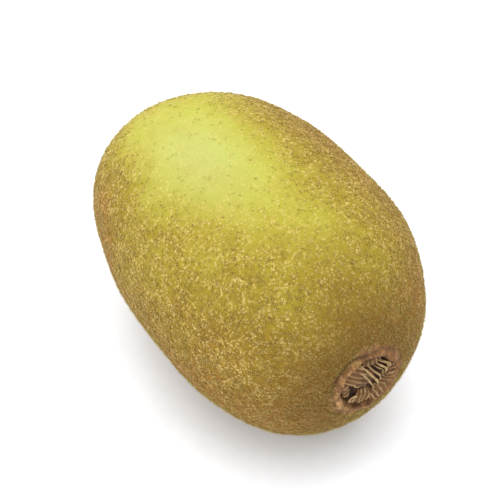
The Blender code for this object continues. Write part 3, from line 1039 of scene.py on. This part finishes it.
class Graph:
    """Builds the nodes of one material or one shader node group."""

    def __init__(self, tree: bpy.types.NodeTree) -> None:
        """Works on one node tree."""
        self.tree = tree

    def node(self, kind: str, **settings: object) -> bpy.types.Node:
        """Adds a node of this type and sets its properties."""
        made = self.tree.nodes.new(kind)
        for name, value in settings.items():
            setattr(made, name, value)
        return made

    def feed(self, socket: Socket, source: object) -> None:
        """Sets a socket from another node's output or to a plain value."""
        if isinstance(source, Socket):
            self.tree.links.new(source, socket)
        elif isinstance(source, tuple) and len(source) == 3 and len(socket.default_value) == 4:
            socket.default_value = (*source, 1.0)
        else:
            socket.default_value = source

    def made(
        self, kind: str, output: int | str, inputs: dict[int | str, object], **settings: object
    ) -> Socket:
        """Adds a node, feeds its inputs and takes one of its outputs.

        Args:
            kind: The node's type name.
            output: The output, by number or name.
            inputs: What goes into its inputs, by number or name.
            settings: Its properties.

        Returns:
            The output's socket.
        """
        node = self.node(kind, **settings)
        for key, source in inputs.items():
            self.feed(node.inputs[key], source)
        return node.outputs[output]

    def math(self, operation: str, first: object, second: object, clamp: bool = False) -> Socket:
        """One step of arithmetic on two numbers, kept from 0 to 1 if clamp is set."""
        return self.made("ShaderNodeMath", 0, {0: first, 1: second}, operation=operation, use_clamp=clamp)

    def add(self, first: object, second: object, clamp: bool = False) -> Socket:
        """The sum of two numbers."""
        return self.math("ADD", first, second, clamp)

    def times(self, first: object, second: object, clamp: bool = False) -> Socket:
        """The product of two numbers."""
        return self.math("MULTIPLY", first, second, clamp)

    def grade(self, value: object, start: float, end: float, low: float = 0.0, high: float = 1.0) -> Socket:
        """Takes a number's range from start to end onto low to high with a smooth step."""
        inputs = {"Value": value, "From Min": start, "From Max": end, "To Min": low, "To Max": high}
        return self.made("ShaderNodeMapRange", "Result", inputs, interpolation_type="SMOOTHSTEP")

    def blend(self, share: object, first: object, second: object) -> Socket:
        """Mixes two colours, from the first at a share of 0 to the second at 1."""
        inputs = {0: share, 6: first, 7: second}
        return self.made("ShaderNodeMix", 2, inputs, data_type="RGBA", clamp_factor=True)

    def noise(self, place: object, scale: object, detail: float = 2.0, roughness: float = 0.5) -> Socket:
        """Noise texture's strength at a place, with a scale in cycles per metre."""
        inputs = {"Vector": place, "Scale": scale, "Detail": detail, "Roughness": roughness}
        return self.made("ShaderNodeTexNoise", 0, inputs)

    def bent(self, place: Socket, scale: float, reach: float) -> Socket:
        """Coordinates that noise pushes this way and that, for bending another pattern.

        Args:
            place: The coordinates.
            scale: The noise's cycles per metre.
            reach: How far it pushes them, in metres.

        Returns:
            The bent coordinates.
        """
        noise = self.made("ShaderNodeTexNoise", "Color", {"Vector": place, "Scale": scale})
        centred = self.made("ShaderNodeVectorMath", 0, {0: noise, 1: (0.5, 0.5, 0.5)}, operation="SUBTRACT")
        push = self.made("ShaderNodeVectorMath", 0, {0: centred, "Scale": reach}, operation="SCALE")
        return self.made("ShaderNodeVectorMath", 0, {0: place, 1: push}, operation="ADD")

    def cells(self, place: Socket, scale: float) -> Socket:
        """Distance to the nearest of scattered points, with a scale in cycles per metre."""
        return self.made("ShaderNodeTexVoronoi", "Distance", {"Vector": place, "Scale": scale}, feature="F1")

    def mark(self, name: str) -> Socket:
        """The number that a piece carries at each point under this name."""
        return self.made("ShaderNodeAttribute", "Fac", {}, attribute_name=name)

    def group(self, shared: bpy.types.NodeTree, **values: object) -> dict[str, Socket]:
        """Places a shared effect, sets its inputs by name, and gives its outputs by name."""
        placed = self.node("ShaderNodeGroup", node_tree=shared)
        for name, value in values.items():
            self.feed(placed.inputs[name], value)
        return {socket.name: socket for socket in placed.outputs}


def shared_group(
    name: str, inputs: dict[str, object], outputs: dict[str, str]
) -> tuple[Graph, dict[str, Socket], dict[str, Socket]]:
    """An empty shader node group with named sockets.

    Args:
        name: The group's name.
        inputs: Each input's starting value: None for coordinates, a number, or a colour.
        outputs: Each output's socket type.

    Returns:
        The group's graph, its inputs by name, and its outputs by name.
    """
    tree = bpy.data.node_groups.new(name, "ShaderNodeTree")
    for title, start in inputs.items():
        kind = VECTOR if start is None else NUMBER if isinstance(start, float) else COLOUR
        socket = tree.interface.new_socket(title, in_out="INPUT", socket_type=kind)
        if start is not None:
            socket.default_value = start
    for title, kind in outputs.items():
        tree.interface.new_socket(title, in_out="OUTPUT", socket_type=kind)
    graph = Graph(tree)
    into = graph.node("NodeGroupInput")
    out = graph.node("NodeGroupOutput")
    return graph, {s.name: s for s in into.outputs if s.name}, {s.name: s for s in out.inputs if s.name}


def grain_group() -> bpy.types.NodeTree:
    """Fine uneven grain: two noises of different size, as a mask and as a height."""
    inputs = {"Place": None, "Coarse": 600.0, "Fine": 2000.0}
    graph, into, out = shared_group("Grain", inputs, {"Mask": NUMBER, "Height": NUMBER})
    coarse = graph.noise(into["Place"], into["Coarse"], 3.0, 0.6)
    fine = graph.noise(into["Place"], into["Fine"], 2.0, 0.6)
    both = graph.add(graph.times(coarse, 0.55), graph.times(fine, 0.45))
    graph.feed(out["Mask"], graph.grade(both, 0.36, 0.64))
    graph.feed(out["Height"], both)
    return graph.tree


def mottle_group() -> bpy.types.NodeTree:
    """Slow change of colour: noise moves a share that blends a light and a dark colour."""
    white, black = (1.0, 1.0, 1.0, 1.0), (0.0, 0.0, 0.0, 1.0)
    inputs = {"Place": None, "Size": 60.0, "Share": 0.5, "Spread": 0.5, "Light": white, "Dark": black}
    graph, into, out = shared_group("Mottle", inputs, {"Colour": COLOUR})
    noise = graph.math("SUBTRACT", graph.noise(into["Place"], into["Size"], 4.0, 0.55), 0.5)
    share = graph.add(into["Share"], graph.times(noise, graph.times(into["Spread"], 4.0)), clamp=True)
    graph.feed(out["Colour"], graph.blend(share, into["Light"], into["Dark"]))
    return graph.tree


def fibre_group() -> bpy.types.NodeTree:
    """Streaks that run along a piece's pattern, as a mask and as a height."""
    inputs = {"Pattern": None, "Streaks": 40.0, "Length": 3.0}
    graph, into, out = shared_group("Fibre", inputs, {"Mask": NUMBER, "Height": NUMBER})
    parts = graph.node("ShaderNodeSeparateXYZ")
    graph.feed(parts.inputs[0], into["Pattern"])
    stretched = {k: graph.times(parts.outputs[k], into[name]) for k, name in enumerate(("Streaks", "Length"))}
    streak = graph.noise(graph.made("ShaderNodeCombineXYZ", 0, stretched), 1.0, 3.0, 0.6)
    graph.feed(out["Mask"], graph.grade(streak, 0.35, 0.65))
    graph.feed(out["Height"], streak)
    return graph.tree


@dataclass(frozen=True)
class Shared:
    """The effects that several finishes use."""

    grain: bpy.types.NodeTree
    mottle: bpy.types.NodeTree
    fibre: bpy.types.NodeTree


@dataclass(frozen=True)
class Paint:
    """What a finish varies over the surface: colour, wear from smooth at 0 to rough at 1, and relief."""

    colour: Socket
    wear: Socket
    height: Socket


@dataclass(frozen=True)
class Finish:
    """What every finish has: a name, a roughness range, the depth of its relief and its shine."""

    name: str
    smooth: float
    rough: float
    depth: float
    shine: float = 0.12

    def paint(self, graph: Graph, place: Socket, shared: Shared) -> Paint:
        """Works out what varies over the surface, which each finish does in its own way.

        Args:
            graph: The material's graph.
            place: Object coordinates.
            shared: The shared effects.

        Returns:
            The colour, the wear and the relief.
        """
        raise NotImplementedError

    def build(self, shared: Shared) -> Material:
        """Makes the material: roughness runs between the finish's two with wear, and relief is a bump.

        Args:
            shared: The shared effects.

        Returns:
            The material.
        """
        material = bpy.data.materials.new(self.name)
        material.use_nodes = True
        graph = Graph(material.node_tree)
        shader = material.node_tree.nodes["Principled BSDF"]
        shader.inputs["Metallic"].default_value = 0.0
        shader.inputs["Specular IOR Level"].default_value = self.shine
        paint = self.paint(graph, graph.made("ShaderNodeTexCoord", "Object", {}), shared)
        relief = {"Strength": 1.0, "Distance": self.depth, "Height": paint.height}
        graph.feed(shader.inputs["Base Color"], paint.colour)
        graph.feed(shader.inputs["Roughness"], graph.grade(paint.wear, 0.0, 1.0, self.smooth, self.rough))
        graph.feed(shader.inputs["Normal"], graph.made("ShaderNodeBump", "Normal", relief))
        return material


@dataclass(frozen=True)
class SkinFinish(Finish):
    """The skin: golden green on top, olive gold and brown below, partly its own colour and partly painted
    shade, with a painted sheen on top, sandy with flattened fuzz.
    """

    # pale is the green with a painted sheen: the bluish haze of a soft highlight on the top.
    pale: Colour = (0.37, 0.385, 0.104)
    green: Colour = (0.37, 0.385, 0.042)
    gold: Colour = (0.28, 0.208, 0.019)
    brown: Colour = (0.25, 0.112, 0.014)
    pore: Colour = (0.10, 0.05, 0.007)
    sand: Colour = (0.64, 0.47, 0.17)
    # collar: partly the skin's own dark brown, partly painted shade round the rim.
    collar: Colour = (0.14, 0.068, 0.012)
    rim: Colour = (0.27, 0.135, 0.052)
    lip: Colour = (0.50, 0.280, 0.112)
    cork: Colour = (0.13, 0.06, 0.025)
    beak: Colour = (0.36, 0.21, 0.10)
    # hollow: near black, painted shade over the dark brown wall; it also paints shade into the creases.
    hollow: Colour = (0.02, 0.01, 0.006)

    def paint(self, graph: Graph, place: Socket, shared: Shared) -> Paint:
        """Colours by the brown share, which holds painted shade, and a painted sheen, then pores, sandy
        flecks and clumps, dots, partly painted shade in a collar round the rim, painted shade in the creases
        and the hollow, and the dry parts at both ends.

        Arguments and result are as in Finish.
        """
        # The brown share, partly the skin's own colour and partly painted shade lower down.
        brown_and_shade = graph.mark("brown_and_shade")
        # Painted sheen: the green turns pale, with a highlight's haze, where the sheen mark is strong.
        green = graph.blend(graph.mark("pale"), self.green, self.pale)
        share = graph.times(brown_and_shade, 2.0)
        upper = graph.group(
            shared.mottle, Place=place, Size=140.0, Share=share, Spread=0.12, Light=green, Dark=self.gold
        )
        skin = graph.blend(graph.grade(brown_and_shade, 0.5, 1.0), upper["Colour"], self.brown)
        grain = graph.group(shared.grain, Place=place, Coarse=700.0, Fine=1700.0)
        pores = graph.times(graph.math("SUBTRACT", 1.0, grain["Mask"]), 0.46)
        skin = graph.blend(graph.times(pores, graph.grade(brown_and_shade, 0.15, 0.9)), skin, self.pore)
        bent = graph.bent(place, 1100.0, 0.8 * MM)
        amount = graph.grade(brown_and_shade, 0.0, 0.7, 0.30, 1.0)
        spread = graph.times(graph.grade(graph.noise(place, 420.0), 0.30, 0.60), amount)
        flecks = graph.times(graph.grade(graph.cells(bent, 1800.0), 0.14, 0.52, 1.0, 0.0), spread)
        clumps = graph.times(graph.grade(graph.cells(bent, 820.0), 0.10, 0.45, 1.0, 0.0), spread)
        skin = graph.blend(graph.times(flecks, 0.84), skin, self.sand)
        skin = graph.blend(graph.times(clumps, 0.42), skin, self.sand)
        dots = graph.grade(graph.cells(place, 230.0), 0.05, 0.10, 1.0, 0.0)
        some = graph.grade(graph.noise(place, 70.0, 1.0), 0.58, 0.64)
        skin = graph.blend(graph.times(graph.times(dots, some), 0.42), skin, self.pore)
        # Darker towards the rim: partly the skin's own brown, partly painted shade.
        skin = graph.blend(graph.times(graph.mark("collar"), 0.85), skin, self.collar)
        cork = graph.group(shared.grain, Place=place, Coarse=650.0, Fine=2600.0)["Mask"]
        crust = graph.grade(graph.noise(place, 620.0, 3.0, 0.65), 0.47, 0.57)
        rim = graph.blend(graph.mark("lip"), self.rim, self.lip)
        rim = graph.blend(graph.times(cork, 0.75), rim, self.cork)
        rim = graph.blend(graph.times(crust, 0.72), rim, self.cork)
        skin = graph.blend(graph.mark("rim"), skin, rim)
        # Painted shade in the creases of the rim.
        skin = graph.blend(graph.times(graph.mark("crease"), 0.45, clamp=True), skin, self.hollow)
        # The hollow's wall painted near black: painted shade over its dark brown.
        skin = graph.blend(graph.mark("hollow"), skin, self.hollow)
        skin = graph.blend(graph.mark("beak"), skin, graph.blend(cork, self.cork, self.beak))
        return Paint(skin, grain["Mask"], graph.add(grain["Height"], graph.times(flecks, 0.6)))


@dataclass(frozen=True)
class FuzzFinish(Finish):
    """The hairs: the skin's colour at the root and light tan at the tip, some of them golden."""

    green: Colour = (0.32, 0.33, 0.05)
    brown: Colour = (0.22, 0.128, 0.021)
    tan: Colour = (0.82, 0.64, 0.24)
    golden: Colour = (0.36, 0.26, 0.04)

    def paint(self, graph: Graph, place: Socket, shared: Shared) -> Paint:
        """Blends from root to tip along the hair. Arguments and result are as in Finish."""
        grain = graph.group(shared.grain, Place=place, Coarse=300.0, Fine=1200.0)
        # Roots follow the skin's green to brown share, which holds painted shade.
        root = graph.blend(graph.grade(graph.mark("brown_and_shade"), 0.05, 0.55), self.green, self.brown)
        end = graph.blend(graph.mark("hue"), self.tan, self.golden)
        tip = graph.blend(graph.times(grain["Mask"], 0.25), end, root)
        colour = graph.blend(graph.grade(graph.mark("reach"), 0.0, 0.75), root, tip)
        return Paint(colour, graph.mark("hue"), grain["Height"])


@dataclass(frozen=True)
class LeafFinish(Finish):
    """Dried sepals and strands: streaked along their length, pale on the ribs and dark between them, partly
    their own colour and partly painted highlight on the ribs and painted shade between them.
    """

    # pale for the rib tops, dark for the valleys: partly the leaf's own colour, partly painted highlight and
    # painted shade.
    pale: Colour = (0.60, 0.42, 0.20)
    middle: Colour = (0.21, 0.105, 0.042)
    dark: Colour = (0.045, 0.02, 0.010)

    def paint(self, graph: Graph, place: Socket, shared: Shared) -> Paint:
        """Mottled between the ribs, pale on them where not worn, then streaked: partly the dried leaf's own
        colour, partly painted shade in the valleys and painted highlight on the ribs.

        Arguments and result are as in Finish.
        """
        pattern = graph.made("ShaderNodeUVMap", "UV", {}, uv_map="pattern")
        streaks = graph.group(shared.fibre, Pattern=pattern, Streaks=34.0, Length=3.0)
        patches = graph.group(
            shared.mottle, Place=place, Size=420.0, Share=0.60, Spread=0.45, Light=self.middle, Dark=self.dark
        )
        worn = graph.grade(graph.noise(place, 850.0), 0.38, 0.58, 0.55, 1.0)
        # Pale on the rib tops, dark in the valleys: partly the leaf's own colour, partly painted highlight
        # and painted shade.
        ribs = graph.times(graph.grade(graph.mark("rib"), 0.05, 0.95), worn)
        colour = graph.blend(ribs, patches["Colour"], self.pale)
        colour = graph.blend(graph.times(streaks["Mask"], 0.7), colour, self.middle)
        grain = graph.group(shared.grain, Place=place, Coarse=1500.0, Fine=5000.0)
        return Paint(colour, grain["Mask"], graph.add(streaks["Height"], graph.times(grain["Height"], 0.6)))


@dataclass(frozen=True)
class CorkFinish(Finish):
    """Dry cork: two browns in small patches, with a grainy relief."""

    light: Colour = (0.34, 0.24, 0.15)
    dark: Colour = (0.10, 0.06, 0.035)
    patch: float = 900.0

    def paint(self, graph: Graph, place: Socket, shared: Shared) -> Paint:
        """Mottled, then darker in the grain's gaps. Arguments and result are as in Finish."""
        patches = graph.group(
            shared.mottle, Place=place, Size=self.patch, Share=0.5, Spread=0.5,
            Light=self.light, Dark=self.dark,
        )
        grain = graph.group(shared.grain, Place=place, Coarse=1800.0, Fine=6000.0)
        shade = graph.times(graph.math("SUBTRACT", 1.0, grain["Mask"]), 0.5)
        return Paint(graph.blend(shade, patches["Colour"], self.dark), grain["Mask"], grain["Height"])


@dataclass(frozen=True)
class FloorFinish(Finish):
    """A pale matt floor with the faintest grain."""

    light: Colour = (0.89, 0.915, 0.95)
    dark: Colour = (0.86, 0.885, 0.92)

    def paint(self, graph: Graph, place: Socket, shared: Shared) -> Paint:
        """Blends its two colours by the grain. Arguments and result are as in Finish."""
        grain = graph.group(shared.grain, Place=place, Coarse=40.0, Fine=400.0)
        return Paint(graph.blend(grain["Mask"], self.light, self.dark), grain["Mask"], grain["Height"])


def hang(name: str, data: bpy.types.ID, place: Vector, back: Vector) -> bpy.types.Object:
    """Links a light or camera at a place.

    Args:
        name: The object's name.
        data: The light or the camera.
        place: Where it hangs.
        back: The way that its back faces.

    Returns:
        The object.
    """
    obj = bpy.data.objects.new(name, data)
    obj.location = place
    obj.rotation_mode = "QUATERNION"
    obj.rotation_quaternion = back.to_track_quat("Z", "Y")
    bpy.context.scene.collection.objects.link(obj)
    return obj


@dataclass(frozen=True)
class SoftLight:
    """A square soft light that faces the fruit: its place and side in metres, and its power in watts."""

    name: str
    place: tuple[float, float, float]
    size: float
    power: float

    def build(self, target: Vector) -> None:
        """Hangs the light and turns it towards the target."""
        data = bpy.data.lights.new(self.name, "AREA")
        data.shape = "SQUARE"
        data.size = self.size
        data.energy = self.power
        hang(self.name, data, Vector(self.place), Vector(self.place) - target)


@dataclass
class Studio:
    """A pale floor, soft lights and the camera."""

    azimuth: float = 55.8
    elevation: float = 48.35
    distance: float = 0.70
    view_width: float = 0.094
    floor_size: float = 3.0
    floor_gap: float = 0.05 * MM
    surroundings: float = 1.15
    lit_height: float = 0.02
    lights: tuple[SoftLight, ...] = (
        SoftLight("top_light", (-0.10, 0.12, 0.95), 1.20, 8.5),
        SoftLight("back_light", (-0.80, 0.15, 0.45), 0.50, 1.2),
        SoftLight("side_light", (-0.32, -0.77, 0.36), 0.50, 2.2),
    )

    def floor(self, material: Material) -> None:
        """A flat square under the fruit, which isn't part of it."""
        half = self.floor_size / 2.0
        corners = [(-half, -half, 0.0), (half, -half, 0.0), (half, half, 0.0), (-half, half, 0.0)]
        mesh = bpy.data.meshes.new("floor")
        mesh.from_pydata(corners, [], [(0, 1, 2, 3)])
        mesh.materials.append(material)
        obj = bpy.data.objects.new("floor", mesh)
        obj.location.z = -self.floor_gap
        bpy.context.scene.collection.objects.link(obj)

    def camera(self) -> None:
        """A long lens that looks at the middle of the fruit from the photograph's direction."""
        low, high = CAD_BOX
        turn, rise = math.radians(self.azimuth), math.radians(self.elevation)
        back = Vector((math.sin(turn) * math.cos(rise), -math.cos(turn) * math.cos(rise), math.sin(rise)))
        data = bpy.data.cameras.new("camera")
        data.lens = data.sensor_width * self.distance / self.view_width
        data.clip_start = 0.01
        data.clip_end = 50.0
        bpy.context.scene.camera = hang("camera", data, (low + high) / 2.0 + back * self.distance, back)

    def build(self, floor: Material) -> None:
        """Makes the floor, the lights, the pale surroundings and the camera."""
        self.floor(floor)
        for light in self.lights:
            light.build(Vector((0.0, 0.0, self.lit_height)))
        world = bpy.data.worlds.new("surroundings")
        world.use_nodes = True
        ground = world.node_tree.nodes["Background"]
        ground.inputs["Color"].default_value = (1.0, 1.0, 1.0, 1.0)
        ground.inputs["Strength"].default_value = self.surroundings
        bpy.context.scene.world = world
        bpy.context.scene.view_settings.view_transform = "Standard"
        self.camera()


def main() -> None:
    """Builds the fruit, its fuzz, its dried ends and the studio."""
    logging.basicConfig(level=logging.INFO, format="%(name)s %(message)s")
    shared = Shared(grain_group(), mottle_group(), fibre_group())
    form = FruitForm()
    skin = SkinFinish("skin", smooth=0.58, rough=0.80, depth=0.14 * MM, shine=0.10)
    fuzz = FuzzFinish("fuzz", smooth=0.45, rough=0.7, depth=0.02 * MM)
    # The calyx's floor near black: dark dried calyx, deepened with painted shade of the hollow under the
    # sepals.
    disc = CorkFinish(
        "calyx_floor", smooth=0.7, rough=0.95, depth=0.10 * MM,
        light=(0.09, 0.045, 0.022), dark=(0.02, 0.009, 0.006),
    )
    scar = CorkFinish(
        "stalk_cork", smooth=0.7, rough=0.95, depth=0.12 * MM,
        light=(0.26, 0.16, 0.08), dark=(0.07, 0.04, 0.02),
    )
    leaf = LeafFinish("dried_leaf", smooth=0.55, rough=0.9, depth=0.08 * MM)
    style = CorkFinish(
        "dried_style", smooth=0.6, rough=0.9, depth=0.06 * MM,
        light=(0.20, 0.11, 0.05), dark=(0.045, 0.022, 0.010),
    )
    ground = FloorFinish("pale_floor", smooth=0.6, rough=0.75, depth=0.02 * MM)
    grid = FruitBody(form).build(skin.build(shared))
    Fuzz(form).build(grid, fuzz.build(shared))
    Calyx(form).build(disc.build(shared), scar.build(shared), leaf.build(shared))
    StyleTuft(form).build(style.build(shared))
    Studio().build(ground.build(shared))
    bpy.context.view_layer.update()


if __name__ == "__main__":
    main()
